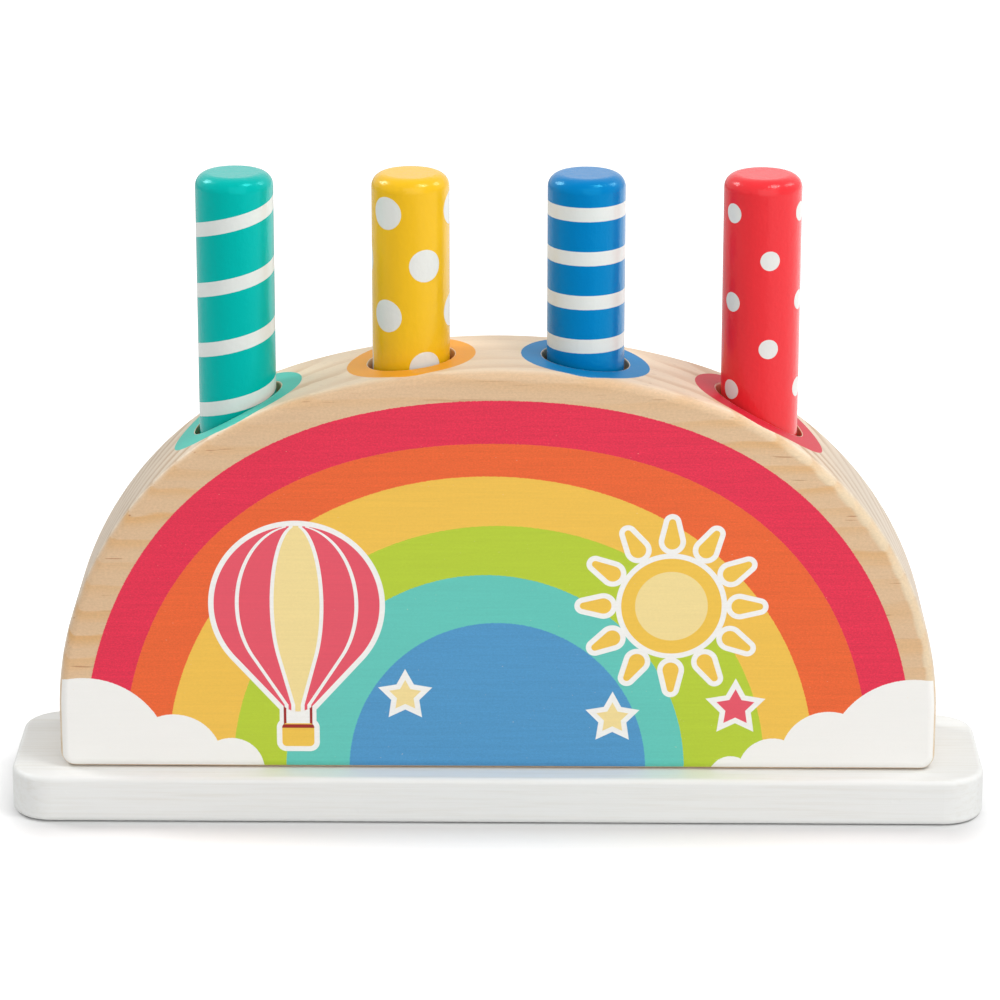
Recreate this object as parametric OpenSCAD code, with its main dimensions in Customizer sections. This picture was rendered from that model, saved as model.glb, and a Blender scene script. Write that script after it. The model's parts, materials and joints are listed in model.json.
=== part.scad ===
// Wooden pop-up toy: an arched block on a base board, with four pegs that stand on springs in its bores.
// Millimetres, +Z up. The origin is under the middle of the base board, and X runs along the board.

/* [Base board] */
// Length of the base board
board_l = 255; // [250:1:300]
// Depth of the base board, front to back
board_d = 50; // [46:1:70]
// Thickness of the base board
board_t = 12.5; // [10:0.5:18]
// Radius of the board's corners, seen from above
board_corner_r = 11; // [4:0.5:20]
// Radius of the board's rounded upper and lower edges
board_edge_r = 1.5; // [0.5:0.25:3]

/* [Arched block] */
// Width of the block at its foot
arch_w = 229; // [215:1:240]
// Height of the block above the base board
arch_h = 108.5; // [100:0.5:118]
// Depth of the block, front to back
arch_d = 36; // [30:1:44]
// Height of the block's straight sides
arch_side_h = 15.2; // [12:0.2:30]
// Radius of the rounded edge round the block's front and back
arch_edge_r = 2.5; // [1:0.25:3.5]
// Radius of the block's lower corners, seen from the front
arch_foot_r = 4; // [4:0.5:9]

/* [Pegs] */
// Diameter of a peg
peg_d = 20; // [17:0.5:23]
// Length of a peg
peg_l = 93.5; // [80:0.5:105]
// Radius of a peg's rounded top edge
peg_top_r = 3.5; // [1:0.5:6]
// Chamfer round a peg's lower end
peg_chamfer = 1; // [0.5:0.25:2]
// Distance from one peg to the next
peg_pitch = 45; // [40:0.5:48]
// Clearance all round a peg in its bore
bore_clear = 1.25; // [0.75:0.25:2]

/* [Springs] */
// Height of a spring under its peg
spring_l = 62; // [50:1:70]
// Diameter of the spring wire
wire_d = 1; // [0.8:0.1:1.6]
// Working coils of a spring, between its two closed end coils
spring_coils = 8; // [6:1:10]
// How far a spring lies inside the outline of its peg
spring_inset = 0.8; // [0.4:0.1:2]
// Gap from a closed end coil to the next coil, where the working coils begin
end_coil_gap = 0.5; // [0.45:0.05:0.8]
// Gap between a spring and what it stands on or carries
spring_seat = 0.3; // [0.1:0.05:0.5]

/* [Fasteners] */
// Diameter of a wood screw's shank
screw_d = 3.5; // [3:0.25:4.5]
// Length of a wood screw
screw_l = 35; // [25:1:42]
// Diameter of a wood screw's head
screw_head_d = 7; // [6:0.5:9]
// Height of a wood screw's tapered tip
screw_tip_l = 6; // [3:0.5:9]
// Depth of a screw head below the underside of the board
screw_sink = 0.5; // [0.25:0.25:1.5]
// Clearance round a screw in the wood
screw_fit = 0.1; // [0.05:0.05:0.3]
// Width of the flat wire of a staple
staple_w = 1.4; // [1:0.1:2]
// Thickness of the flat wire of a staple
staple_t = 0.7; // [0.5:0.05:0.9]
// Length of a staple's legs in the board
staple_leg = 7; // [4:0.5:8]
// Clearance between a staple and the coil it holds
staple_clear = 0.3; // [0.2:0.05:0.4]

/* [Hidden] */
$fn = 96;

// Pegs, from left to right
teal_x = -1.5 * peg_pitch;
yellow_x = -0.5 * peg_pitch;
blue_x = 0.5 * peg_pitch;
red_x = 1.5 * peg_pitch;
PEG_XS = [teal_x, yellow_x, blue_x, red_x];
bore_d = peg_d + 2 * bore_clear;
spring_z = board_t + spring_seat;
peg_z = spring_z + spring_l + spring_seat;

// Three-centred arch: the crown and a haunch meet on the line through their centres, which lie 7 steps apart
// across, 24 up and so 25 along it. Steps of whole hundredths let the arcs meet exactly.
half_w = arch_w / 2;
hundredth = 0.01;
arch_step = hundredth * round((half_w - arch_h + arch_side_h) / (6 * hundredth));
haunch_x = 7 * arch_step;
haunch_r = half_w - haunch_x;
crown_r = haunch_r + 25 * arch_step;
crown_z = arch_side_h - 24 * arch_step;
joint_way = [7, 24] / 25;
// Whole hundreds that take a cut right past the arch
reach = 100 * ceil(crown_r / 100);

// Springs
coil_r = peg_d / 2 - spring_inset - wire_d / 2;
end_pitch = wire_d + end_coil_gap;
work_pitch = (spring_l - wire_d - 2 * end_pitch) / spring_coils;
all_coils = spring_coils + 2;
coil_rings = 8;
wire_sides = 6;

// A staple holds the closed lower coil half a turn after the wire's end
staple_coil_z = spring_z + wire_d / 2 + end_pitch / 2;
staple_top = staple_coil_z + wire_d / 2 + staple_clear + staple_t;
staple_span = wire_d + 2 * staple_clear + 2 * staple_t;

// Screws go up between the bores, and between the outer bores and the block's sides
outer_screw_x = (red_x + bore_d / 2 + half_w) / 2;
SCREW_XS = [-outer_screw_x, -peg_pitch, peg_pitch, outer_screw_x];
screw_head_h = (screw_head_d - screw_d) / 2;

wood = [0.88, 0.78, 0.62];
white_paint = [0.94, 0.94, 0.92];
teal_paint = [0, 0.69, 0.65];
yellow_paint = [0.95, 0.77, 0.12];
blue_paint = [0, 0.47, 0.74];
red_paint = [0.92, 0.24, 0.25];
steel = [0.72, 0.73, 0.75];

// Section of a rim from x = inner out to x = outer, t thick about y = 0, with both outer corners rounded
module rim_section(inner, outer, t, r) {
    difference() {
        translate([inner, -t / 2]) square([outer - inner, t]);
        for (side = [0, 1]) mirror([0, side]) translate([outer - r, t / 2 - r]) difference() {
            square(r);
            circle(r);
        }
    }
}

// Quarter turn of a rim about the Z axis, with outer radius r, that begins at an angle
module rim_corner(r, t, edge_r, from) {
    rotate_extrude(angle = 90, start = from) rim_section(0, r, t, edge_r);
}

// Round disc of radius r about the origin, with rounded edges
module coin(r, t, edge_r) {
    rotate_extrude() rim_section(0, r, t, edge_r);
}

// Straight rim of length l that runs along Y, with its outer edge at x = 0
module rim_run(l, w, t, edge_r) {
    rotate([-90, 0, 0]) linear_extrude(l) rim_section(-w, 0, t, edge_r);
}

// Slab with rounded corners in plan and rounded edges above and below, standing on z = 0
module slab(l, d, t, corner_r, edge_r) {
    run_l = l - 2 * corner_r;
    run_d = d - 2 * corner_r;
    translate([0, 0, t / 2]) {
        cube([run_l, run_d, t], center = true);
        for (end = [0, 1]) rotate(180 * end) {
            translate([l / 2, -run_d / 2, 0]) rim_run(run_d, corner_r, t, edge_r);
            translate([run_l / 2, d / 2, 0]) rotate(90) rim_run(run_l, corner_r, t, edge_r);
            translate([run_l / 2, run_d / 2, 0]) rim_corner(corner_r, t, edge_r, 0);
            translate([-run_l / 2, run_d / 2, 0]) rim_corner(corner_r, t, edge_r, 90);
        }
    }
}

// Straight foot of the block, from y = 0 up to the springing of the arch, with rounded lower corners
module arch_foot() {
    corner_x = half_w - arch_foot_r;
    run_h = arch_side_h - arch_foot_r;
    translate([-corner_x, arch_foot_r, -arch_d / 2]) cube([2 * corner_x, run_h, arch_d]);
    translate([-corner_x, 0, 0]) rotate(-90) rim_run(2 * corner_x, arch_foot_r, arch_d, arch_edge_r);
    for (side = [0, 1]) mirror([side, 0, 0]) {
        translate([half_w, arch_foot_r, 0]) rim_run(run_h, arch_foot_r, arch_d, arch_edge_r);
        translate([corner_x, arch_foot_r, 0]) rim_corner(arch_foot_r, arch_d, arch_edge_r, -90);
    }
}

// Arched block lying on its back, with its outline in the XY plane and its foot at y = 0
module arch_outline() {
    centre = [haunch_x, arch_side_h];
    far = centre + reach * joint_way;
    arch_foot();
    intersection() {
        translate([0, crown_z, 0]) coin(crown_r, arch_d, arch_edge_r);
        linear_extrude(2 * arch_d, center = true)
            polygon([centre, far, [-far.x, far.y], [-centre.x, centre.y]]);
    }
    for (side = [0, 1]) mirror([side, 0, 0]) intersection() {
        translate([centre.x, centre.y, 0]) coin(haunch_r, arch_d, arch_edge_r);
        linear_extrude(2 * arch_d, center = true)
            polygon([centre, [far.x + reach, centre.y], [far.x + reach, far.y], far]);
    }
}

// Countersunk wood screw, head down, grown by a clearance where it stands for its hole
module screw(grow = 0) {
    shank_r = screw_d / 2 + grow;
    head_r = screw_head_d / 2 + grow;
    tip_z = screw_l + grow;
    rotate_extrude() polygon([
        [0, -grow], [head_r, -grow], [head_r, grow], [shank_r, screw_head_h + grow],
        [shank_r, tip_z - screw_tip_l], [grow, tip_z], [0, tip_z]
    ]);
}

// Screws in their places, or the holes for them
module screws(grow = 0) {
    for (x = SCREW_XS) translate([x, 0, screw_sink]) screw(grow);
}

// Sunk mouth under a screw's head, through the underside of the board
module screw_mouth() {
    mouth_r = screw_head_d / 2 + screw_fit;
    translate([0, 0, -screw_sink]) cylinder(r = mouth_r, h = 2 * screw_sink);
}

// Flat staple astride the closed lower coil of the spring at x
module staple(x) {
    legs_h = staple_top - board_t + staple_leg;
    translate([x - coil_r, 0, staple_top - legs_h]) rotate([90, 0, 0])
        linear_extrude(staple_w, center = true) difference() {
            translate([-staple_span / 2, 0]) square([staple_span, legs_h]);
            translate([-staple_span / 2 + staple_t, -staple_t])
                square([staple_span - 2 * staple_t, legs_h]);
        }
}

// Height of the wire's middle above the spring's foot after a number of turns
function wire_rise(turn) =
    let (ends = min(turn, 1) + max(turn - spring_coils - 1, 0))
    wire_d / 2 + end_pitch * ends + work_pitch * (turn - ends);

// Middle of the wire after a number of turns
function wire_point(turn) = [
    coil_r * cos(360 * turn), coil_r * sin(360 * turn), wire_rise(turn)
];

// Direction along the coil after a number of turns, seen from above
function wire_way(turn) = [-sin(360 * turn), cos(360 * turn), 0];

// Six-sided ring of the wire about a middle point, standing across its way
function wire_ring(middle, way) =
    let (out = [way.y, -way.x, 0])
    [for (i = [0 : wire_sides - 1]) let (a = 360 * i / wire_sides)
        middle + wire_d / 2 * (cos(a) * out + [0, 0, sin(a)])];

// Middles of all rings: the coils, and one straight wire diameter past each end
WIRE_MIDDLES = concat(
    [wire_point(0) - wire_d * wire_way(0)],
    [for (i = [0 : all_coils * coil_rings]) wire_point(i / coil_rings)],
    [wire_point(all_coils) + wire_d * wire_way(all_coils)]
);
WIRE_WAYS = concat(
    [wire_way(0)],
    [for (i = [0 : all_coils * coil_rings]) wire_way(i / coil_rings)],
    [wire_way(all_coils)]
);

// Least gap between turns of a spring, on the middles of its rings
TURN_GAPS = [
    for (i = [0 : len(WIRE_MIDDLES) - 1], j = [i + coil_rings / 2 : 1 : len(WIRE_MIDDLES) - 1])
        norm(WIRE_MIDDLES[i] - WIRE_MIDDLES[j]) - wire_d
];
echo(least_gap_between_turns = min(TURN_GAPS));

// Coil spring as one unbroken wire, standing on the board under the peg at x
module spring(x) {
    rings = len(WIRE_MIDDLES);
    points = [for (i = [0 : rings - 1]) each wire_ring(WIRE_MIDDLES[i], WIRE_WAYS[i])];
    walls = [
        for (i = [0 : rings - 2], k = [0 : wire_sides - 1])
            let (a = i * wire_sides + k, b = i * wire_sides + (k + 1) % wire_sides)
            each [[a, a + wire_sides, b], [b, a + wire_sides, b + wire_sides]]
    ];
    last = (rings - 1) * wire_sides;
    ends = [
        for (k = [1 : wire_sides - 2])
            each [[0, k, k + 1], [last, last + k + 1, last + k]]
    ];
    translate([x, 0, spring_z]) polyhedron(points, concat(walls, ends));
}

// Round peg with a softly rounded top, standing on its spring at x
module peg(x) {
    r = peg_d / 2;
    translate([x, 0, peg_z]) rotate_extrude() difference() {
        polygon([
            [0, 0], [r - peg_chamfer, 0], [r, peg_chamfer], [r, peg_l], [0, peg_l]
        ]);
        translate([r - peg_top_r, peg_l - peg_top_r]) difference() {
            square(peg_top_r);
            circle(peg_top_r);
        }
    }
}

module base_board() {
    color(white_paint) difference() {
        slab(board_l, board_d, board_t, board_corner_r, board_edge_r);
        screws(screw_fit);
        for (x = SCREW_XS) translate([x, 0, 0]) screw_mouth();
        for (x = PEG_XS) staple(x);
    }
}

module arch_block() {
    color(wood) difference() {
        translate([0, 0, board_t]) rotate([90, 0, 0]) arch_outline();
        for (x = PEG_XS) translate([x, 0, board_t - arch_h]) cylinder(d = bore_d, h = 3 * arch_h);
        screws(screw_fit);
    }
}

module teal_peg() { color(teal_paint) peg(teal_x); }
module yellow_peg() { color(yellow_paint) peg(yellow_x); }
module blue_peg() { color(blue_paint) peg(blue_x); }
module red_peg() { color(red_paint) peg(red_x); }

module teal_spring() { color(steel) spring(teal_x); }
module yellow_spring() { color(steel) spring(yellow_x); }
module blue_spring() { color(steel) spring(blue_x); }
module red_spring() { color(steel) spring(red_x); }

module spring_staples() { color(steel) for (x = PEG_XS) staple(x); }
module base_screws() { color(steel) screws(); }

base_board();
arch_block();
teal_peg();
yellow_peg();
blue_peg();
red_peg();
teal_spring();
yellow_spring();
blue_spring();
red_spring();
spring_staples();
base_screws();
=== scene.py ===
"""Wooden pop-up toy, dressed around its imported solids. Lengths are in millimetres until a mesh is made."""
import json
import math

import bmesh
import bpy
from mathutils import Matrix, Vector


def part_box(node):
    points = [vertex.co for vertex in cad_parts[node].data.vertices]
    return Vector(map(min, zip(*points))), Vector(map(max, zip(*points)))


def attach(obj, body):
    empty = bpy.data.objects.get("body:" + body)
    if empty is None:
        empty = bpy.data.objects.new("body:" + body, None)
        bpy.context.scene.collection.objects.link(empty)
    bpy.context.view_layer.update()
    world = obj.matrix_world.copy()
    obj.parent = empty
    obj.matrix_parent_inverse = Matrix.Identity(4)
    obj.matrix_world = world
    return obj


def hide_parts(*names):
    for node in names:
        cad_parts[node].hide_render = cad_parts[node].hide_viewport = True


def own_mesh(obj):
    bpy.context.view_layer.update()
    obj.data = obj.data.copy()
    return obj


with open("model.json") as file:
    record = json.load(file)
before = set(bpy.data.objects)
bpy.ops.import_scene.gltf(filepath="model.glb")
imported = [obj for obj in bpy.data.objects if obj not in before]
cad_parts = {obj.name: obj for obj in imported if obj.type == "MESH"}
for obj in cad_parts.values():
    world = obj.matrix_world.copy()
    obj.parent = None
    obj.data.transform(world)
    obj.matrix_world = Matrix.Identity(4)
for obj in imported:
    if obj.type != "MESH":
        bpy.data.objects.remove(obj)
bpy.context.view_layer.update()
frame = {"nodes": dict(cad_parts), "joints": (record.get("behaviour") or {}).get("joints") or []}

MM = 0.001


def node_box(node):
    """Lowest and highest corner of a CAD node's box, to the hundredth of a millimetre."""
    return [[round(c / MM, 2) for c in corner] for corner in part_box(node)]


# Base board and arched block: sizes from the frame, and what part.scad gives them besides
board_high = node_box("base_board")[1]
BOARD_L, BOARD_D, BOARD_T = 2 * board_high[0], 2 * board_high[1], board_high[2]
BOARD_CORNER_R = 11
arch_high = node_box("arch_block")[1]
HALF_W, ARCH_D, ARCH_H = arch_high[0], 2 * arch_high[1], arch_high[2] - BOARD_T
SIDE_H, FOOT_R, ARCH_EDGE_R = 15.2, 4, 2.5

# How far the flat of the top reaches from the middle to the front and back, up to the rounded edges
FLAT_Y = ARCH_D / 2 - ARCH_EDGE_R

# Three-centred arch, as in part.scad: the centres of the crown and a haunch lie 7 steps apart across, 24 up
# and so 25 along the line on which their arcs meet
RUN, RISE, SLANT = 7, 24, 25
HUNDREDTH = 0.01
ARCH_STEP = HUNDREDTH * round((HALF_W - ARCH_H + SIDE_H) / ((RUN + RISE - SLANT) * HUNDREDTH))
HAUNCH_X = RUN * ARCH_STEP
HAUNCH_R = HALF_W - HAUNCH_X
CROWN_R = HAUNCH_R + SLANT * ARCH_STEP
CROWN_Z = SIDE_H - RISE * ARCH_STEP

# Pegs from left to right, and their bores with an eased edge round each mouth
PEG_XS = {}
for peg in ("teal", "yellow", "blue", "red"):
    peg_low, peg_high = node_box(peg + "_peg")
    PEG_XS[peg] = (peg_low[0] + peg_high[0]) / 2
PEG_R, PEG_Z, PEG_TOP = peg_high[1], peg_low[2], peg_high[2]
PEG_PITCH = PEG_XS["blue"] - PEG_XS["yellow"]
BORE_CLEAR, BORE_EASE = 1.25, 0.4
BORE_R = PEG_R + BORE_CLEAR

# Middle and width of the printed ring round each bore
RING_R, RING_W = 14.1, 5.1

# Springs between the board and the pegs, worked out as in part.scad
SPRING_SEAT, SPRING_INSET, WIRE_D, END_COIL_GAP, WORK_COILS = 0.3, 0.8, 1, 0.5, 8
SPRING_Z = BOARD_T + SPRING_SEAT
SPRING_L = PEG_Z - SPRING_SEAT - SPRING_Z
COIL_R = PEG_R - SPRING_INSET - WIRE_D / 2
END_PITCH = WIRE_D + END_COIL_GAP
WORK_PITCH = (SPRING_L - WIRE_D - 2 * END_PITCH) / WORK_COILS
PRESS_TRAVEL = -min(joint["range_m"][0] for joint in frame["joints"]) / MM

# Screws up through the board, between the bores and outside the outer ones
screw_low, screw_high = node_box("base_screws")
SCREW_Z, SCREW_L = screw_low[2], screw_high[2] - screw_low[2]
SCREW_R, SCREW_HEAD_R, SCREW_TIP = 1.75, 3.5, 6
OUTER_SCREW_X = (PEG_XS["red"] + BORE_R + HALF_W) / 2
SCREW_XS = (-OUTER_SCREW_X, -PEG_PITCH, PEG_PITCH, OUTER_SCREW_X)


def srgb(r, g, b):
    """A colour as read off a screen, 0 to 255, as a linear RGBA tuple."""
    return tuple(
        c / 12.92 if c <= 0.04045 else ((c + 0.055) / 1.055) ** 2.4 for c in (r / 255, g / 255, b / 255)
    ) + (1,)


# Patterns

# How far a step of its seed moves a noise along x, y and z
SEED_MOVE = (1, 2.3, 3.1)


class Field:
    """A number at each point of a surface, written as arithmetic and kept as Math nodes."""

    def __init__(self, tree, out):
        self.tree, self.out = tree, out

    def math(self, operation, *others, clamp=False):
        node = self.tree.nodes.new("ShaderNodeMath")
        node.operation, node.use_clamp = operation, clamp
        for value, socket in zip((self,) + others, node.inputs):
            if isinstance(value, Field):
                self.tree.links.new(value.out, socket)
            else:
                socket.default_value = value
        return Field(self.tree, node.outputs[0])

    def __add__(self, other):
        return self.math("ADD", other)

    def __sub__(self, other):
        return self.math("SUBTRACT", other)

    def __rsub__(self, other):
        return self.math("MULTIPLY_ADD", -1, other)

    def __mul__(self, other):
        return self.math("MULTIPLY", other)

    def __truediv__(self, other):
        return self.math("DIVIDE", other)

    __radd__, __rmul__ = __add__, __mul__

    def abs(self):
        return self.math("ABSOLUTE")

    def max(self, other):
        return self.math("MAXIMUM", other)

    def min(self, other):
        return self.math("MINIMUM", other)

    def fract(self):
        return self.math("FRACT")

    def length(self, other):
        return (self * self + other * other).math("SQRT")

    def above(self, edge):
        return self.math("GREATER_THAN", edge)

    def ramp(self, low, high):
        """0 below low, 1 above high and smooth between."""
        node = self.tree.nodes.new("ShaderNodeMapRange")
        node.interpolation_type = "SMOOTHSTEP"
        self.tree.links.new(self.out, node.inputs["Value"])
        node.inputs["From Min"].default_value, node.inputs["From Max"].default_value = low, high
        return Field(self.tree, node.outputs["Result"])

    def inside(self, soft=0.05):
        """1 where this signed distance is below 0, with an edge about as soft as printed ink."""
        return self.math("MULTIPLY_ADD", -0.5 / soft, 0.5, clamp=True)

    def choose(self, yes, no):
        """yes where this is 1 and no where it is 0."""
        return self * (yes - no) + no


class Look:
    """A material and its pattern coordinates, in millimetres of the frame at rest."""

    def __init__(self, name, **sockets):
        self.material = bpy.data.materials.new(name)
        self.material.use_nodes = True
        self.tree = self.material.node_tree
        self.shader = self.tree.nodes["Principled BSDF"]
        for socket, value in sockets.items():
            self.shader.inputs[socket.replace("_", " ")].default_value = value
        place = self.tree.nodes.new("ShaderNodeTexCoord")
        scale = self.tree.nodes.new("ShaderNodeVectorMath")
        scale.operation = "SCALE"
        scale.inputs["Scale"].default_value = 1 / MM
        self.tree.links.new(place.outputs["Object"], scale.inputs[0])
        self.place = scale.outputs["Vector"]
        split = self.tree.nodes.new("ShaderNodeSeparateXYZ")
        self.tree.links.new(self.place, split.inputs[0])
        self.x, self.y, self.z = (Field(self.tree, split.outputs[i]) for i in range(3))

    def noise(self, x, y, z, detail=2, roughness=0.5, seed=0):
        """Noise about 0, from -0.5 to 0.5, with x, y and z waves to the millimetre."""
        stretch = self.tree.nodes.new("ShaderNodeVectorMath")
        stretch.operation = "MULTIPLY_ADD"
        stretch.inputs[1].default_value = (x, y, z)
        stretch.inputs[2].default_value = [seed * move for move in SEED_MOVE]
        self.tree.links.new(self.place, stretch.inputs[0])
        node = self.tree.nodes.new("ShaderNodeTexNoise")
        node.inputs["Scale"].default_value = 1
        node.inputs["Detail"].default_value = detail
        node.inputs["Roughness"].default_value = roughness
        self.tree.links.new(stretch.outputs["Vector"], node.inputs["Vector"])
        return Field(self.tree, node.outputs[0]) - 0.5

    def mix(self, under, over, cover, blend="MIX"):
        """Colour over on colour under, as far as the field or number cover says."""
        node = self.tree.nodes.new("ShaderNodeMix")
        node.data_type, node.blend_type = "RGBA", blend
        # A Mix node's sockets 6 and 7 are its colours
        for value, socket in ((cover, node.inputs[0]), (under, node.inputs[6]), (over, node.inputs[7])):
            if isinstance(value, Field):
                self.tree.links.new(value.out, socket)
            elif isinstance(value, bpy.types.NodeSocket):
                self.tree.links.new(value, socket)
            else:
                socket.default_value = value
        return node.outputs[2]

    def shade(self, colour, factor):
        """The colour times a field."""
        join = self.tree.nodes.new("ShaderNodeCombineXYZ")
        for socket in join.inputs:
            self.tree.links.new(factor.out, socket)
        return self.mix(colour, join.outputs[0], 1, "MULTIPLY")

    def finish(self, colour, roughness, height):
        """Joins the colour, the roughness and the height in millimetres to the shader."""
        self.tree.links.new(colour, self.shader.inputs["Base Color"])
        self.tree.links.new(roughness.out, self.shader.inputs["Roughness"])
        bump = self.tree.nodes.new("ShaderNodeBump")
        bump.inputs["Distance"].default_value = MM
        self.tree.links.new(height.out, bump.inputs["Height"])
        self.tree.links.new(bump.outputs["Normal"], self.shader.inputs["Normal"])
        return self.material


# Colours of the woods, inks, paints and metals
# The end wood is end grain, darker and greyer than the top, and also painted shade on the flanks
PALE_WOOD, FACE_WOOD, SHADED_END_WOOD = srgb(242, 219, 190), srgb(221, 187, 149), srgb(212, 196, 175)
TOP_AMBER, FACE_AMBER, END_AMBER = srgb(204, 158, 105), srgb(219, 168, 106), srgb(190, 166, 138)
# The worn wood is wear and a painted highlight along the rounded edges
STREAK_WOOD, WORN_AND_HIGHLIGHT_WOOD, RIM_WOOD = srgb(160, 88, 44), srgb(252, 240, 218), srgb(228, 207, 174)
# The bore wood is raw wood with the warm light that bounces inside the bores painted in
BORE_WOOD_AND_BOUNCE = srgb(224, 158, 96)
BOARD_WHITE, BOARD_GRAIN = srgb(235, 236, 234), srgb(220, 217, 208)
CLOUD_WHITE, PEG_WHITE = srgb(244, 243, 239), srgb(227, 228, 224)
CRIMSON, ORANGE, YELLOW = srgb(227, 42, 75), srgb(235, 100, 46), srgb(241, 193, 78)
GREEN, TEAL, BLUE = srgb(183, 206, 52), srgb(98, 199, 186), srgb(78, 150, 199)
CORAL, DEEP_RED = srgb(230, 84, 102), srgb(156, 34, 30)
PALE_YELLOW, GOLD = srgb(243, 220, 152), srgb(241, 196, 76)
SPRING_STEEL, ZINC, DULL_STEEL = srgb(214, 214, 212), srgb(205, 207, 210), srgb(150, 146, 138)
PEG_PAINTS = {
    "teal": srgb(0, 178, 169),
    "yellow": srgb(240, 188, 20),
    "blue": srgb(0, 121, 188),
    "red": srgb(234, 44, 52),
}
PEG_GLOSSES = {
    "teal": (0.08, 1, 1, 1),
    "yellow": (1, 0.95, 0.6, 1),
    "blue": (0.08, 0.85, 1, 1),
    "red": (1, 0.65, 0.65, 1),
}
RING_INKS = {
    "teal": srgb(62, 193, 176),
    "yellow": srgb(242, 165, 40),
    "blue": srgb(0, 127, 187),
    "red": srgb(204, 32, 54),
}

# The rainbow's bands, from the outside in: colour, how much the ink is mottled, and the outer edge's height,
# its reach to each side at the foot, how far it bulges between these, and how far its sides lie to the right
BANDS = [
    (CRIMSON, 0.75, 100.8, 108.5, 3.9, 0.2),
    (ORANGE, 0.5, 89.3, 97.4, 3.1, -0.4),
    (YELLOW, 0.08, 80.5, 84.5, 0.9, -1.8),
    (GREEN, 0.08, 67.2, 69.4, 0.5, 0.4),
    (TEAL, 0.1, 53.7, 52, 0, -3.2),
    (BLUE, 0.4, 40.7, 38.7, 0, 0),
]

# Lobes of the two clouds: x, height above the board and radius
CLOUDS = [
    (-108, 2.5, 22.5), (-84.5, 2.5, 12.5), (-69.5, 0, 8.5),
    (108.5, 3, 22.5), (86.5, 4, 12.5), (72, 0, 9), (61, -1.5, 5.5),
]

# Stars: x, z, radius and colour
STARS = [(62, 30, 5.2, CORAL), (30, 27, 4.4, PALE_YELLOW), (-24, 33, 4.4, PALE_YELLOW)]

# Width of the white outline round a printed motif, and how ragged the edges of the ink are
OUTLINE, RAGGED_INK = 1.4, 0.45

# Where the pine changes, off the middle of the block: towards its shoulders and its end grain, where the
# darker end wood is also painted shade, along the worn line, which is also a painted highlight, and the pale
# rim of its edges, and from the top to the flat faces
SHOULDER_XS, END_GRAIN_AND_SHADE_XS, WORN_AND_HIGHLIGHT_XS, RIM_XS = (35, 85), (62, 98), (30, 60), (50, 90)
FACE_YS, RIM_YS, WORN_AND_HIGHLIGHT_Y = (FLAT_Y + 0.4, FLAT_Y + 2.2), (FLAT_Y - 0.9, FLAT_Y + 0.3), FLAT_Y + 0.9


def pine(look, edge):
    """Pine with its grain along X and its growth layers about a pith behind it: colour, fibre and height."""
    pith_y, pith_z, year = 95, -40, 4.4
    wide_wander, narrow_wander, end_calm, fray = 15, 3.2, 2.5, 1.1
    rim_w, rim_wave, rim_fray, rim_soft = 2.7, 2.4, 1.2, (-0.7, 0.5)
    face_wave, worn_and_highlight_soft = 0.9, (0.15, 0.5)
    side, depth = look.x.abs(), look.y.abs()
    fibre = look.noise(0.05, 1.6, 1.6, detail=4, roughness=0.65, seed=17)
    hair = look.noise(0.16, 5, 5, detail=2, seed=23)
    grit = look.noise(1.3, 2, 2, detail=3, roughness=0.7, seed=37)
    patch = look.noise(0.012, 0.03, 0.03, seed=31)
    wave = look.noise(0.05, 0.02, 0.05, seed=53)

    # The flat faces are darker than the sanded top, and so are the shoulders, where the grain is cut across;
    # the darker, greyer end wood towards the ends is also painted shade on the flanks
    face = (depth + wave * face_wave).ramp(*FACE_YS)
    shoulder = side.ramp(*SHOULDER_XS)
    across = side.ramp(*END_GRAIN_AND_SHADE_XS)
    end_grain = across * (1 - face)

    # Growth layers, each with its late wood in a band, and short dark streaks along the grain
    wander = look.noise(0.006, 0.02, 0.02, seed=3) * wide_wander
    wander = wander + look.noise(0.03, 0.1, 0.1, seed=7) * (narrow_wander - end_grain * end_calm)
    phase = (((look.y - pith_y).length(look.z - pith_z) + wander + fibre * fray) / year).fract()
    strength = look.noise(0.004, 0.07, 0.07, seed=11).ramp(-0.15, 0.2) * 0.8 + 0.2
    band = phase.ramp(0.3, 0.85) * (1 - phase.ramp(0.87, 1.0))
    late = band * strength
    streak = look.noise(0.06, 1.3, 1.3, detail=1, seed=29).ramp(0.205, 0.255)

    # A pale rim along the right-hand edge, and a worn line along both edges, which is also a painted
    # highlight on their rounding
    rim = (edge + rim_w + wave * rim_wave - late * rim_fray).ramp(*rim_soft)
    rim = rim * look.x.ramp(*RIM_XS) * depth.ramp(*RIM_YS)
    worn_and_highlight = (1 - (depth - WORN_AND_HIGHLIGHT_Y).abs().ramp(*worn_and_highlight_soft)) * side.ramp(*WORN_AND_HIGHLIGHT_XS)

    early_top = look.mix(PALE_WOOD, SHADED_END_WOOD, across)
    early_face = look.mix(FACE_WOOD, RIM_WOOD, rim * 0.9)
    amber = look.mix(look.mix(TOP_AMBER, END_AMBER, across), FACE_AMBER, face)
    late_cover = late * (0.5 - face * 0.15 + shoulder * 0.5) * (1 - rim * 0.6)
    end_cover = band * shoulder * (1 - face) * 0.35
    colour = look.mix(early_top, early_face, face)
    colour = look.mix(colour, amber, late_cover + end_cover)
    streak = streak * face.max(1 - shoulder) * (1 - rim)
    colour = look.mix(colour, STREAK_WOOD, streak * (0.25 + shoulder * 0.35))
    colour = look.mix(colour, WORN_AND_HIGHLIGHT_WOOD, worn_and_highlight * (0.2 + fibre))
    grain = fibre * 0.14 + hair * 0.1 + grit * (0.17 + face * 0.19) + patch * 0.14
    colour = look.shade(colour, 1 + grain)
    return colour, fibre + grit, fibre * 0.04 + hair * 0.03 + grit * 0.02 + late * 0.015


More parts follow.
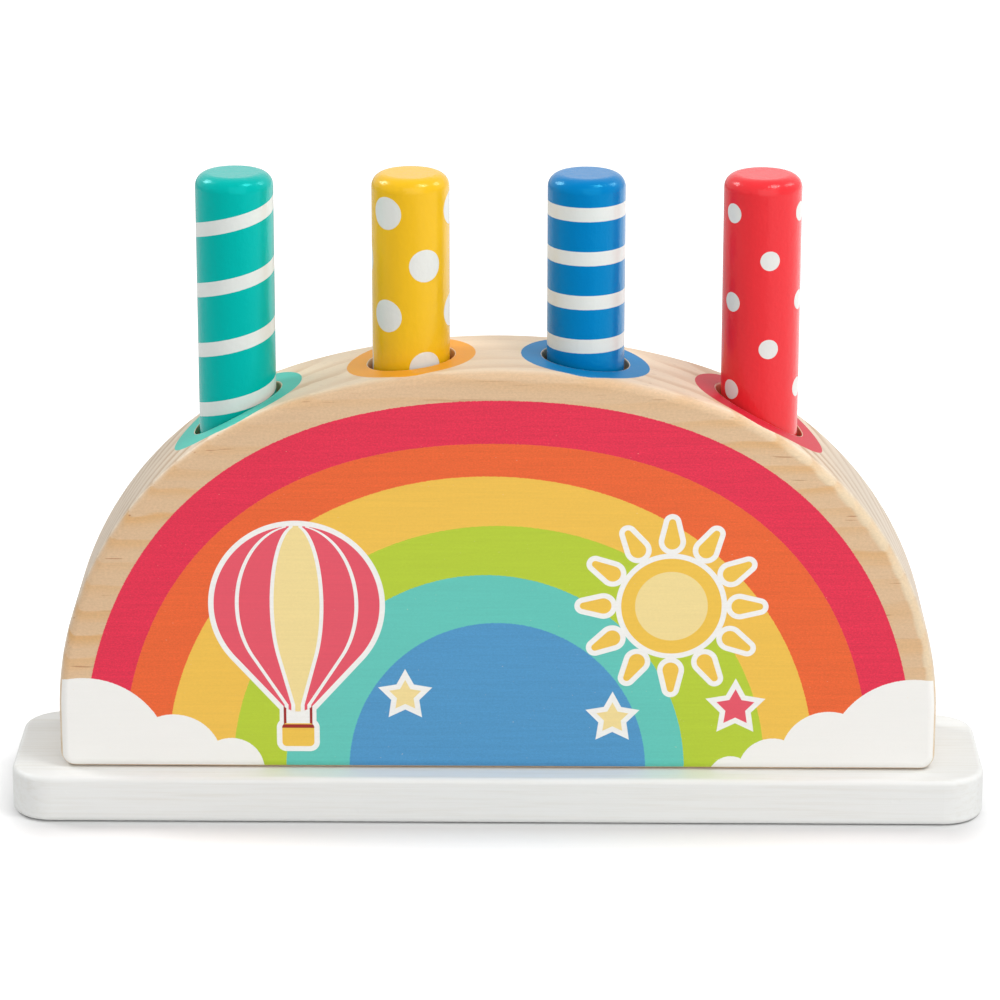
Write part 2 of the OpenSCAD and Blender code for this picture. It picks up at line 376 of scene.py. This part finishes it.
def outline_distance(look):
    """Signed distance from the block's outline, seen from the front, below 0 inside."""
    side, height = look.x.abs(), look.z - BOARD_T
    crown = side.length(height - CROWN_Z) - CROWN_R
    haunch = (side - HAUNCH_X).length((height - SIDE_H).max(0)) - HAUNCH_R
    on_haunch = ((side - HAUNCH_X) * RISE - (height - SIDE_H) * RUN).above(0)
    return on_haunch.choose(haunch, crown)


def disc(look, x, z, r):
    """Signed distance from a round, seen from the front."""
    return (look.x - x).length(look.z - z) - r


def off_spoke(across, up, count):
    """Angle from the nearest of count spokes, one of which points up."""
    turn = across.math("ARCTAN2", up) / (math.tau / count)
    return ((turn + 0.5).fract() - 0.5).abs() * (math.tau / count)


def star(look, x, z, r):
    """Signed distance from a star with five points."""
    points, notch_share = 5, 0.52
    across, up = look.x - x, look.z - z
    bend = off_spoke(across, up, points)
    reach = across.length(up)
    notch = Vector((math.cos(math.pi / points), math.sin(math.pi / points))) * r * notch_share
    edge = notch - Vector((r, 0))
    out = Vector((edge.y, -edge.x)).normalized()
    return (reach * bend.math("COSINE") - r) * out.x + reach * bend.math("SINE") * out.y


def sticker(look, colour, distance, fill, on):
    """A printed motif with a white outline."""
    colour = look.mix(colour, CLOUD_WHITE, (distance - OUTLINE).inside() * on)
    return look.mix(colour, fill, distance.inside() * on)


def drop(across, along, wide, narrow, length):
    """Signed distance from a drop that tapers from a round of radius wide to one of narrow at length."""
    lean = (wide - narrow) / length
    slope = math.sqrt(1 - lean * lean)
    way = along * slope - across * lean
    head = across.length(along) - wide
    side = across * slope + along * lean - wide
    tip = across.length(along - length) - narrow
    return way.above(slope * length).choose(tip, way.above(0).choose(side, head))


def balloon(look, colour, on):
    """Hot-air balloon with five gores and a basket."""
    x, z, r, tail, tail_r = -52, 58, 21.5, 24, 5.5
    seams, seam_half = (0.3, 0.72), 0.5
    basket_drop, basket_flat, basket_half_h, basket_r = 6.5, 3, 2, 1.2
    rope_x, rope_r, rope_middle, rope_half = 3.4, 0.35, 5, 4
    trim_z, trim_half = 2.4, 0.5
    across, down = (look.x - x).abs(), z - look.z
    bag = drop(across, down, r, tail_r, tail)

    # Half the width of the bag at each height, for gores that narrow with it
    lean = (r - tail_r) / tail
    slope = math.sqrt(1 - lean * lean)
    head = (r * r - down * down).max(0.01).math("SQRT")
    half = (down - r * lean).above(0).choose((r - down * lean) / slope, head).max(tail_r * slope)
    gore = across / half

    rise = look.z - (z - tail - tail_r - basket_drop)
    basket = (across - basket_flat).max(0).length((rise.abs() - basket_half_h).max(0)) - basket_r
    hang = (rise - rope_middle).abs() - rope_half
    ropes = (across - rope_x).abs().max(hang) - rope_r
    whole = bag.min(basket).min((across - rope_x).max(hang))
    trim = basket.max((rise - trim_z).abs() - trim_half)
    colour = look.mix(colour, CLOUD_WHITE, (whole - OUTLINE).inside() * on)
    colour = look.mix(colour, DEEP_RED, ropes.inside() * on)
    colour = look.mix(colour, GOLD, basket.inside() * on)
    colour = look.mix(colour, DEEP_RED, trim.inside() * on)
    colour = look.mix(colour, CORAL, bag.inside() * on)
    colour = look.mix(colour, PALE_YELLOW, bag.max((gore - seams[0]) * r).inside() * on)
    for seam in seams:
        colour = look.mix(colour, CLOUD_WHITE, bag.max((gore - seam).abs() * half - seam_half).inside() * on)
    return colour


def sun(look, colour, on):
    """Sun with twelve rays."""
    x, z, r, middle_r, rays = 45, 58, 13, 9.4, 12
    ray_start, ray_wide, ray_narrow, ray_l = 17.6, 2.1, 0.9, 5.2
    across, up = look.x - x, look.z - z
    reach = across.length(up)
    bend = off_spoke(across, up, rays)
    along, side = reach * bend.math("COSINE"), reach * bend.math("SINE")
    ray = drop(side, along - ray_start, ray_wide, ray_narrow, ray_l)
    colour = sticker(look, colour, (reach - r).min(ray), GOLD, on)
    return look.mix(colour, PALE_YELLOW, (reach - middle_r).inside() * on)


def rainbow(look, ink, fibre, ragged, front):
    """The bands of the rainbow on the wood, and the outermost one, which holds all the others."""
    tooth = look.noise(1.9, 3.1, 3.1, detail=3, roughness=0.8, seed=43)
    away = look.x.length(look.z - BOARD_T)
    cosine = look.x / away.max(1)
    level = cosine * cosine
    bands = []
    for colour, mottle, rise, reach, bulge, shift in BANDS:
        edge_r = rise + level * (reach - rise) + level * (1 - level) * (4 * bulge) + cosine * shift
        band = (away - edge_r + ragged).inside()
        ink = look.mix(ink, look.shade(colour, 1 + (tooth + fibre * 0.25) * mottle), band * front)
        bands.append(band)
    return ink, bands[0]


def block_look():
    """Sanded pine with a printed front and a printed ring round each bore."""
    look = Look("pine_and_print", Specular_IOR_Level=0.35)
    edge = outline_distance(look)
    wood, fibre, height = pine(look, edge)
    ragged = look.noise(1.8, 1.8, 4, seed=41) * RAGGED_INK

    # The print stops short of the outline, and its lower corners are rounded
    corner, short_of_side, short_of_foot = 3, 0.6, 0.7
    past_side = edge + short_of_side + corner
    past_foot = short_of_foot - (look.z - BOARD_T) + corner
    bounds = past_side.max(0).length(past_foot.max(0)) + past_side.max(past_foot).min(0) - corner
    front = bounds.inside() * (look.y + FLAT_Y).inside()

    ink, bow = rainbow(look, wood, fibre, ragged, front)
    ink = balloon(look, ink, front)
    ink = sun(look, ink, front)
    for x, z, r, colour in STARS:
        ink = sticker(look, ink, star(look, x, z, r), colour, front)
    lobes = [disc(look, x, z + BOARD_T, r) for x, z, r in CLOUDS]
    cloud = lobes[0]
    for lobe in lobes[1:]:
        cloud = cloud.min(lobe)
    cloud = (cloud + ragged * 0.5).inside() * front
    ink = look.mix(ink, CLOUD_WHITE, cloud)
    printed = (bow * front).max(cloud)

    # Rings on the top, and the walls of the bores, which are warmer further down: raw wood with the light
    # that bounces inside them painted in
    ring_depth, bounce_depths, wall_margin = 3.2, (0.5, 3), 0.1
    top = (-ring_depth - edge).inside()
    deep_bounce = (0 - edge).ramp(*bounce_depths)
    for name, x in PEG_XS.items():
        away = (look.x - x).length(look.y)
        ring = ((away - RING_R).abs() - RING_W / 2 + ragged * 0.5).inside() * top
        ink = look.mix(ink, RING_INKS[name], ring)
        printed = printed.max(ring)
        ink = look.mix(ink, BORE_WOOD_AND_BOUNCE, (away - BORE_R - wall_margin).inside() * (0.5 + deep_bounce * 0.4))

    # Ink lies thin on the wood, so that the fibre shows through, with a few specks left bare
    speck = look.noise(1.1, 2.6, 2.6, detail=1, seed=47).ramp(0.27, 0.34) * printed
    ink = look.shade(ink, 1 + (printed - cloud * 0.75) * fibre * 0.12)
    ink = look.mix(ink, PALE_WOOD, speck * 0.3)
    rough = 0.42 + fibre * 0.14 + printed * 0.06
    return look.finish(ink, rough, height * (1 - printed * 0.45 - cloud * 0.3))


def white_board_look():
    """Satin white paint that lets a little of the grain show."""
    look = Look("white_paint", Specular_IOR_Level=0.3)
    grain = look.noise(0.03, 0.9, 0.9, detail=4, roughness=0.6, seed=5)
    brush = look.noise(0.02, 3.5, 3.5, detail=2, seed=9)
    cloudy = look.noise(0.02, 0.04, 0.05, seed=13)
    dents = look.noise(0.12, 0.3, 0.3, detail=1, seed=19).ramp(0.22, 0.3)
    colour = look.mix(BOARD_WHITE, BOARD_GRAIN, (grain + 0.1).ramp(0, 0.4) * 0.4)
    colour = look.shade(colour, 1 + brush * 0.025 + cloudy * 0.05)
    rough = 0.42 + grain * 0.2 + cloudy * 0.1
    return look.finish(colour, rough, grain * 0.06 + brush * 0.012 - dents * 0.03)


# Stripes of the teal and blue pegs: height of a turn or pitch, width, and how far the first is below the top
WINDING_STRIPE, HOOPS = (15.95, 3.8, 9.4), (11.55, 3.7, 6.7)

# How far the winding stripe stops below the top
BARE_TOP = 3.7

# Dots: height of a row, radius, how far the first row is below the top, and the angle of one of its dots, in
# degrees to the right of the front. A row has three dots, and the next row's lie between them.
DOTS = {"yellow": (13.5, 4.25, 8.75, -36.5), "red": (11.65, 2.55, 8.85, -50.5)}
ROW_DOTS = 3

# How ragged the edges of the pegs' paint are
RAGGED_PAINT = 0.12


def stripes(along, pitch, width):
    """Signed distance from stripes, one at the start of each pitch."""
    phase = (along / pitch).fract() * pitch
    return (phase - width / 2).abs() - width / 2


def dots(turn, down, pitch, r, first, start):
    """Signed distance from staggered rows of dots."""
    rows = (down - first) / pitch + 0.5
    row = rows.math("FLOOR")
    along = (rows - row - 0.5) * pitch
    share = ((turn - start / 360) * ROW_DOTS - row * 0.5 + 0.5).fract() - 0.5
    across = share * (math.tau * PEG_R / ROW_DOTS)
    return across.length(along) - r


def peg_pattern(look, name):
    """Where white paint covers a peg: a winding stripe, hoops or dots."""
    x, down = look.x - PEG_XS[name], PEG_TOP - look.z
    turn = x.math("ARCTAN2", look.y * -1) / math.tau
    ragged = look.noise(1.4, 1.4, 1.4, seed=3) * RAGGED_PAINT
    if name == "teal":
        lead, width, first = WINDING_STRIPE
        stripe = stripes(down - first + turn * lead, lead, width)
        return (stripe + ragged).inside() * (BARE_TOP - down).inside()
    if name == "blue":
        pitch, width, first = HOOPS
        return (stripes(down - first, pitch, width) + ragged).inside()
    return (dots(turn, down, *DOTS[name]) + ragged).inside()


def peg_look(name):
    """Glossy paint on turned wood, with a white pattern."""
    look = Look(name + "_paint", Specular_IOR_Level=0.4, Specular_Tint=PEG_GLOSSES[name])
    white = peg_pattern(look, name)
    peel = look.noise(0.8, 0.8, 0.8, detail=2, seed=15)
    cloudy = look.noise(0.08, 0.08, 0.05, seed=21)
    brush = look.noise(0.9, 0.9, 0.12, detail=2, seed=11)
    colour = look.mix(PEG_PAINTS[name], PEG_WHITE, white)
    colour = look.shade(colour, 1 + brush * 0.02 + cloudy * 0.08 + peel * 0.02)
    rough = 0.2 + cloudy * 0.1 + peel * 0.06
    return look.finish(colour, rough, peel * 0.08 + brush * 0.03 + white * 0.02)


def steel_look(name, colour, roughness):
    """Metal with fine scratches and a cloudy finish."""
    look = Look(name, Metallic=1.0)
    scratch = look.noise(4, 4, 0.4, detail=3, roughness=0.7, seed=2)
    cloudy = look.noise(0.5, 0.5, 0.5, seed=6)
    tint = look.mix(colour, DULL_STEEL, (cloudy + 0.05).ramp(0, 0.3) * 0.4)
    tint = look.shade(tint, 1 + scratch * 0.12)
    return look.finish(tint, roughness + cloudy * 0.2 + scratch * 0.15, scratch * 0.012)


# Shapes


class Shape:
    """A mesh in the making: points that agree to a ten-thousandth of a millimetre are one."""

    def __init__(self):
        self.points, self.faces, self.seen = [], [], {}

    def point(self, p):
        key = tuple(round(c, 4) + 0.0 for c in p)
        if key not in self.seen:
            self.seen[key] = len(self.points)
            self.points.append([c * MM for c in p])
        return self.seen[key]

    def face(self, *places):
        corners = [self.point(p) for p in places]
        corners = [c for i, c in enumerate(corners) if c != corners[i - 1]]
        if len(corners) > 2:
            self.faces.append(corners)

    def skin(self, rows, closed=False):
        """Quads between rows of as many points each."""
        for a, b in zip(rows, rows[1:]):
            for i in range(0 if closed else 1, len(a)):
                self.face(a[i - 1], a[i], b[i], b[i - 1])

    def piece(self, name, material, body, slot, *nodes):
        """The finished mesh as a piece on a body, in place of CAD nodes."""
        mesh = bpy.data.meshes.new(name)
        mesh.from_pydata(self.points, [], self.faces)
        made = bmesh.new()
        made.from_mesh(mesh)
        bmesh.ops.recalc_face_normals(made, faces=made.faces)
        made.to_mesh(mesh)
        made.free()
        mesh.shade_smooth()
        mesh.materials.append(material)
        thing = bpy.data.objects.new(name, mesh)
        bpy.context.scene.collection.objects.link(thing)
        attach(thing, body)
        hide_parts(*nodes)
        return thing


# Steps along each side of the patch of the block's top round a bore, and half the patch's length
PATCH_STEPS, PATCH_HALF = 24, 16


def top_point(x):
    """The arch's outline at x: (x, z, outward x, outward z)."""
    side = abs(x)
    if side <= RUN / SLANT * CROWN_R:
        out = x / CROWN_R
        rise = math.sqrt(1 - out * out)
        return x, BOARD_T + CROWN_Z + CROWN_R * rise, out, rise
    out = min((side - HAUNCH_X) / HAUNCH_R, 1)
    rise = math.sqrt(1 - out * out)
    return x, BOARD_T + SIDE_H + HAUNCH_R * rise, math.copysign(out, x), rise


def spread(count, half):
    """Places from -half to half, at equal angles seen from half away."""
    return [half * math.tan(math.pi / 4 * (2 * i / count - 1)) for i in range(count + 1)]


def quarter(count):
    """Angles from 0 to a right angle."""
    return [math.radians(90 * i / count) for i in range(count + 1)]


def block_outline(patches):
    """The block seen from the front, from the left springing over the top: each point with its way out."""
    haunch_steps, gap_steps, foot_steps, foot_clear = 24, 6, 8, 0.5
    haunch_end = math.acos((patches[-1][-1] - HAUNCH_X) / HAUNCH_R)
    turns = [haunch_end * i / haunch_steps for i in range(haunch_steps)]
    left = [-(HAUNCH_X + HAUNCH_R * math.cos(t)) for t in turns]
    xs = left + patches[0]
    for near, far in zip(patches, patches[1:]):
        gap = far[0] - near[-1]
        xs += [near[-1] + gap * i / gap_steps for i in range(1, gap_steps)] + far
    xs += [-x for x in reversed(left)]
    upper = [top_point(x) for x in xs]
    foot_x, foot_z = HALF_W - FOOT_R, BOARD_T + FOOT_R
    ways = [(math.cos(t), -math.sin(t)) for t in quarter(foot_steps)]
    down = [(foot_x + FOOT_R * out, foot_z + FOOT_R * rise, out, rise) for out, rise in ways]
    under = [(x, BOARD_T, 0, -1) for x in reversed(xs) if abs(x) < foot_x - foot_clear]
    up = [(-x, z, -out, rise) for x, z, out, rise in reversed(down)]
    return upper + down + under + up


def bore_rows(middle):
    """Rings of points from a patch's edge to the bore, over its eased edge, down its wall and out below."""
    top_rings, ease_rings, wall_rings, under_rings = 6, 5, 4, 3
    around = [math.radians(-135 + 90 * i / PATCH_STEPS) for i in range(4 * PATCH_STEPS)]

    def plan(t, r, share):
        """A place on a circle, moved a share of the way out to the patch's edge."""
        c, s = math.cos(t), math.sin(t)
        k = 1 / max(abs(c), abs(s))
        x = r * c + share * (PATCH_HALF * c * k - r * c)
        return middle + x, r * s + share * (FLAT_Y * s * k - r * s)

    def on_top(t, r, share=0):
        x, y = plan(t, r, share)
        return Vector((x, y, top_point(x)[1]))

    def eased(t, s):
        """A place on the eased edge, from the top at s = 0 to the wall at s = 1."""
        corner = on_top(t, BORE_R)
        wall = corner - Vector((0, 0, BORE_EASE))
        return (1 - s) ** 2 * on_top(t, BORE_R + BORE_EASE) + 2 * s * (1 - s) * corner + s * s * wall

    def on_wall(t, share):
        """A place on the wall, a share of the way up it."""
        return Vector((*plan(t, BORE_R, 0), BOARD_T + share * (eased(t, 1).z - BOARD_T)))

    def below(t, share):
        return (*plan(t, BORE_R, share), BOARD_T)

    mouth_r = BORE_R + BORE_EASE
    rows = [[on_top(t, mouth_r, 1 - i / top_rings) for t in around] for i in range(top_rings + 1)]
    rows += [[eased(t, i / ease_rings) for t in around] for i in range(1, ease_rings + 1)]
    rows += [[on_wall(t, 1 - i / wall_rings) for t in around] for i in range(1, wall_rings + 1)]
    rows += [[below(t, i / under_rings) for t in around] for i in range(1, under_rings + 1)]
    return rows


def arch_block():
    """The arched block, with an eased edge round the mouth of each bore."""
    shape = Shape()
    edge_steps = 8
    ys = spread(PATCH_STEPS, FLAT_Y)
    patches = [[x + step for step in spread(PATCH_STEPS, PATCH_HALF)] for x in PEG_XS.values()]
    loop = block_outline(patches)

    # The sides, and the top and underside between the patches
    for a, b in zip(loop, loop[1:] + loop[:1]):
        on_underside = a[3] == b[3] == -1
        on_top = a[3] > 0 and b[3] > 0
        middle = (a[0] + b[0]) / 2
        in_patch = any(abs(middle - x) < PATCH_HALF for x in PEG_XS.values())
        if in_patch and (on_underside or on_top):
            continue
        shape.skin([[(x, y, z) for y in ys] for x, z, *_ in (a, b)])

    # Rounded edges and flat faces, front and back
    for way in (-1, 1):
        rows = []
        for t in quarter(edge_steps):
            inset = ARCH_EDGE_R * (1 - math.cos(t))
            y = way * (FLAT_Y + ARCH_EDGE_R * math.sin(t))
            rows.append([(x - out * inset, y, z - rise * inset) for x, z, out, rise in loop])
        shape.skin(rows, closed=True)
        shape.face(*rows[-1])

    for x in PEG_XS.values():
        shape.skin(bore_rows(x), closed=True)
    block = shape.piece("pine_block", block_look(), "block", "pine", "arch_block")
    block.modifiers.new("flat_faces", "WEIGHTED_NORMAL").keep_sharp = True


def coil_spring(name, x, material):
    """Round steel wire on the same coil as the solid's, with cut ends."""
    shape = Shape()
    turns, turn_rings, sides = WORK_COILS + 2, 28, 12
    wire_r, nip = WIRE_D / 2, 0.12

    def ring(turn, r, past=0):
        """Points round the wire, at a turn or so far past it."""
        a = math.tau * turn
        out, way = Vector((math.cos(a), math.sin(a), 0)), Vector((-math.sin(a), math.cos(a), 0))
        ends = min(turn, 1) + max(turn - WORK_COILS - 1, 0)
        rise = wire_r + END_PITCH * ends + WORK_PITCH * (turn - ends)
        middle = Vector((x, 0, SPRING_Z + rise)) + out * COIL_R + way * past
        angles = [math.tau * i / sides for i in range(sides)]
        return [middle + r * (math.cos(b) * out + Vector((0, 0, math.sin(b)))) for b in angles]

    rows = [ring(0, wire_r - nip, -WIRE_D), ring(0, wire_r, nip - WIRE_D)]
    rows += [ring(i / turn_rings, wire_r) for i in range(turns * turn_rings + 1)]
    rows += [ring(turns, wire_r, WIRE_D - nip), ring(turns, wire_r - nip, WIRE_D)]
    shape.skin(rows, closed=True)
    shape.face(*rows[0])
    shape.face(*rows[-1])
    body = name + "_spring"
    spring = shape.piece(name + "_coil", material, body, "spring_steel", body)
    top = SPRING_Z + SPRING_L
    name + "_press"
    x * MM
    top * MM
    (SPRING_L - PRESS_TRAVEL) / SPRING_L
    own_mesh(spring)


def recess(r, a):
    """Depth of a screw's cross recess: four arms that narrow outwards, with steep walls."""
    arm, half, taper, wall, depth = 2.1, 0.5, 0.12, 0.18, 1.5
    across, along = sorted((abs(r * math.cos(a)), abs(r * math.sin(a))))
    slot = half + taper * (arm - along)
    inside = min(max((slot - across) / wall, 0), 1)
    return inside * max(min(arm - along, depth), 0)


def thread_r(z, a):
    """Radius of a screw above its head: a plain shank, then a thread that runs in and tapers to a tip."""
    start, run_in, pitch, root, crest, tip = 9, 1.5, 1.6, 0.72, 1.6, 0.04
    if z < start:
        return SCREW_R
    taper = min(max((SCREW_L - z) / SCREW_TIP, tip), 1)
    wave = abs(((z / pitch - a / math.tau) % 1) * 2 - 1)
    depth = (1 - root) * min((z - start) / run_in, 1)
    return SCREW_R * taper * (1 - depth * min(wave * crest, 1))


def wood_screws(material):
    """Countersunk wood screws with a cross recess and a thread."""
    shape = Shape()
    sides, face_rings, face_step, thread_step, rim_h = 48, 22, 0.15, 0.2, 0.1
    angles = [math.tau * i / sides for i in range(sides)]
    radii = [face_step * i for i in range(1, face_rings + 1)] + [SCREW_HEAD_R]
    neck = SCREW_HEAD_R - SCREW_R + rim_h
    heights = [neck + thread_step * i for i in range(int((SCREW_L - neck) / thread_step) + 1)]

    # One screw as radius, angle and height
    rows = [[(r, a, recess(r, a)) for a in angles] for r in radii]
    rows.append([(SCREW_HEAD_R, a, rim_h) for a in angles])
    rows += [[(thread_r(z, a), a, z) for a in angles] for z in heights]
    for x in SCREW_XS:
        placed = [[(x + r * math.cos(a), r * math.sin(a), SCREW_Z + z) for r, a, z in row] for row in rows]
        shape.skin(placed, closed=True)
        shape.face(*placed[0])
        shape.face(*placed[-1])
    shape.piece("wood_screws", material, "block", "zinc_steel", "base_screws")


def dress(node, material, slot):
    """A CAD node that keeps its shape and gets a finish."""
    thing = frame["nodes"][node]
    thing.data.materials.clear()
    thing.data.materials.append(material)


# How rough the two metals are
SPRING_ROUGH, ZINC_ROUGH = 0.24, 0.34

spring_finish = steel_look("spring_steel", SPRING_STEEL, SPRING_ROUGH)
zinc_finish = steel_look("zinc_steel", ZINC, ZINC_ROUGH)
arch_block()
dress("base_board", white_board_look(), "white_paint")
for peg, peg_x in PEG_XS.items():
    dress(peg + "_peg", peg_look(peg), peg + "_paint")
    coil_spring(peg, peg_x, spring_finish)
dress("spring_staples", zinc_finish, "zinc_steel")
wood_screws(zinc_finish)

# Stage, in metres, apart from the places on the floor, which are in millimetres as in the other looks

# Where the studio looks
AIM = Vector((0, 0, 0.08))

# The floor: half its size, how far it lies below the board, and its diffuse colour
FLOOR_HALF, FLOOR_DROP, FLOOR_GREY = 6, 0.0002, 0.72

# How much whiter the camera sees the floor away from the board, from where to where off it, and how much
# sooner that starts off its ends
GLOW, GLOW_START, GLOW_END, GLOW_STRETCH = 0.55, 3, 38, 1.75

# The same far off, where the lamps don't reach, and from where to where it grows to that
FAR_GLOW, FAR_START, FAR_END = 0.78, 300, 1500

# A glow on the floor to the right, which shows in glosses alone and paints a sheen on the pegs' right sides:
# where it begins and ends
SHEEN_GLOW_START, SHEEN_GLOW_END = 100, 350

# The toy's surroundings, as they light it
SKY = 0.37

# Softboxes: direction from the toy, distance, size and power
SOFTBOXES = {
    "left": ((-0.70, 0.30, 0.65), 1.3, 0.4, 6),
    "right": ((0.75, 0.20, 0.62), 1.3, 0.4, 3),
    "over": ((0.42, -0.28, 0.86), 1.3, 0.4, 6.4),
    "front": ((0.22, -0.90, 0.37), 2.5, 2.5, 28.5),
}

# The photograph's view: angles in degrees, distance from the aim, then the lens on a sensor and its shift
ELEVATION, AZIMUTH, ROLL, DISTANCE = 18.10, 0.525, 0.063, 1.1558
SENSOR_W, LENS, SHIFT_X, SHIFT_Y = 36, 159.4, 0.0018, 0.0031

WHITE = (1, 1, 1, 1)


def floor():
    """A pale floor that is shaded near the board and white away from it."""
    places = [(-1, -1), (1, -1), (1, 1), (-1, 1)]
    mesh = bpy.data.meshes.new("floor")
    mesh.from_pydata([(FLOOR_HALF * x, FLOOR_HALF * y, 0) for x, y in places], [], [(0, 1, 2, 3)])
    plane = bpy.data.objects.new("floor", mesh)
    bpy.context.scene.collection.objects.link(plane)
    plane.location.z = -FLOOR_DROP
    grey = (FLOOR_GREY, FLOOR_GREY, FLOOR_GREY, 1)
    look = Look("floor", Specular_IOR_Level=0, Roughness=1, Base_Color=grey, Emission_Color=WHITE)
    path = look.tree.nodes.new("ShaderNodeLightPath")
    seen, glossed = (Field(look.tree, path.outputs[way]) for way in ("Is Camera Ray", "Is Glossy Ray"))
    past_end = (look.x.abs() - BOARD_L / 2 + BOARD_CORNER_R).max(0)
    past_front = (look.y.abs() - BOARD_D / 2 + BOARD_CORNER_R).max(0)
    off = (past_end * GLOW_STRETCH).length(past_front) - BOARD_CORNER_R
    near = ((GLOW_END - off) / (GLOW_END - GLOW_START)).max(0).min(1)
    strength = GLOW + off.ramp(FAR_START, FAR_END) * (FAR_GLOW - GLOW)
    # Camera rays see the floor whiter away from the board, and glossy rays see a glow to the right, a painted
    # reflection
    glow = (1 - near * near) * strength * seen + look.x.ramp(SHEEN_GLOW_START, SHEEN_GLOW_END) * glossed
    look.tree.links.new(glow.out, look.shader.inputs["Emission Strength"])
    mesh.materials.append(look.material)


def sky():
    """White where it is seen, straight or in a gloss, and dimmer where it lights the toy."""
    world = bpy.data.worlds.new("studio")
    bpy.context.scene.world = world
    world.use_nodes = True
    tree = world.node_tree
    path = tree.nodes.new("ShaderNodeLightPath")
    ways = ("Is Camera Ray", "Is Glossy Ray", "Is Transmission Ray")
    straight, glossy, through = (Field(tree, path.outputs[way]) for way in ways)
    level = straight.max(glossy).max(through) * (1 - SKY) + SKY
    back = tree.nodes["Background"]
    back.inputs["Color"].default_value = WHITE
    tree.links.new(level.out, back.inputs["Strength"])


def softbox(name, way, distance, size, power):
    """A square lamp that faces the toy."""
    data = bpy.data.lights.new(name, "AREA")
    data.shape, data.size, data.energy = "SQUARE", size, power
    thing = bpy.data.objects.new(name, data)
    bpy.context.scene.collection.objects.link(thing)
    way = Vector(way).normalized()
    thing.location = AIM + way * distance
    thing.rotation_mode = "QUATERNION"
    thing.rotation_quaternion = (-way).to_track_quat("-Z", "Y")


def camera():
    """A long lens, a little above the toy."""
    elevation, azimuth, roll = (math.radians(angle) for angle in (ELEVATION, AZIMUTH, ROLL))
    flat = math.cos(elevation)
    back = Vector((math.sin(azimuth) * flat, -math.cos(azimuth) * flat, math.sin(elevation)))
    data = bpy.data.cameras.new("camera")
    data.sensor_width, data.lens = SENSOR_W, LENS
    data.shift_x, data.shift_y = SHIFT_X, SHIFT_Y
    thing = bpy.data.objects.new("camera", data)
    bpy.context.scene.collection.objects.link(thing)
    turn = (-back).to_track_quat("-Z", "Y").to_matrix().to_4x4() @ Matrix.Rotation(roll, 4, "Z")
    thing.matrix_world = Matrix.Translation(AIM + back * DISTANCE) @ turn
    bpy.context.scene.camera = thing


floor()
sky()
for box, setting in SOFTBOXES.items():
    softbox(box, *setting)
camera()
bpy.context.scene.view_settings.view_transform = "Standard"
